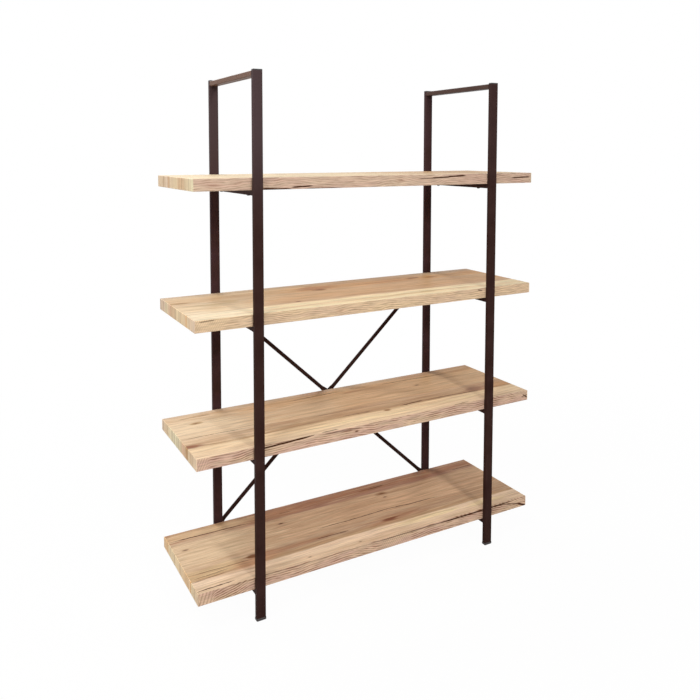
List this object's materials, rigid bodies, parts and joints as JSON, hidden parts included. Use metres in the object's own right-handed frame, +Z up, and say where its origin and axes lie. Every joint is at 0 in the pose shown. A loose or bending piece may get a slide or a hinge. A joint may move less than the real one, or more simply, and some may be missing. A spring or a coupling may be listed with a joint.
{
  "type": "shelving unit",
  "caption": "Open free-standing shelving unit: long wood-decor boards on two slim steel side frames, stiffened behind by a crossed tube brace.",
  "frame": {"origin": "on the floor, in the middle of the overall width and depth", "axes": "+X along the boards to the right seen from the front, +Y to the rear where the brace is, +Z up"},
  "size_m": [1.2, 0.3906, 1.566],
  "materials": {
    "wood_decor": "matt textured oak decor on a board core",
    "wood_edge": "matt textured oak decor edge band",
    "frame_metal": "satin dark brown powder coat",
    "black_plastic": "fine moulded black",
    "brown_plastic": "fine moulded dark brown",
    "black_screws": "black oxide",
    "zinc_steel": "zinc plated"
  },
  "bodies": {
    "root": {"bottom_shelf_board": "wood_decor", "bottom_shelf_edge_bands": "wood_edge", "lower_shelf_board": "wood_decor", "lower_shelf_edge_bands": "wood_edge", "upper_shelf_board": "wood_decor", "upper_shelf_edge_bands": "wood_edge", "top_shelf_board": "wood_decor", "top_shelf_edge_bands": "wood_edge", "left_front_post": "frame_metal", "left_front_post_cap": "black_plastic", "left_front_foot": "brown_plastic", "left_rear_post": "frame_metal", "left_rear_post_cap": "black_plastic", "left_rear_foot": "brown_plastic", "left_top_bar": "frame_metal", "left_bottom_shelf_rail": "frame_metal", "left_lower_shelf_rail": "frame_metal", "left_upper_shelf_rail": "frame_metal", "left_top_shelf_rail": "frame_metal", "right_front_post": "frame_metal", "right_front_post_cap": "black_plastic", "right_front_foot": "brown_plastic", "right_rear_post": "frame_metal", "right_rear_post_cap": "black_plastic", "right_rear_foot": "brown_plastic", "right_top_bar": "frame_metal", "right_bottom_shelf_rail": "frame_metal", "right_lower_shelf_rail": "frame_metal", "right_upper_shelf_rail": "frame_metal", "right_top_shelf_rail": "frame_metal", "shelf_screws": "black_screws", "shelf_inserts": "zinc_steel", "brace_rising_left": "frame_metal", "brace_rising_right": "frame_metal", "brace_rivet_nuts": "zinc_steel", "brace_screws": "black_screws", "brace_centre_nut": "black_screws"}
  },
  "joints": []
}
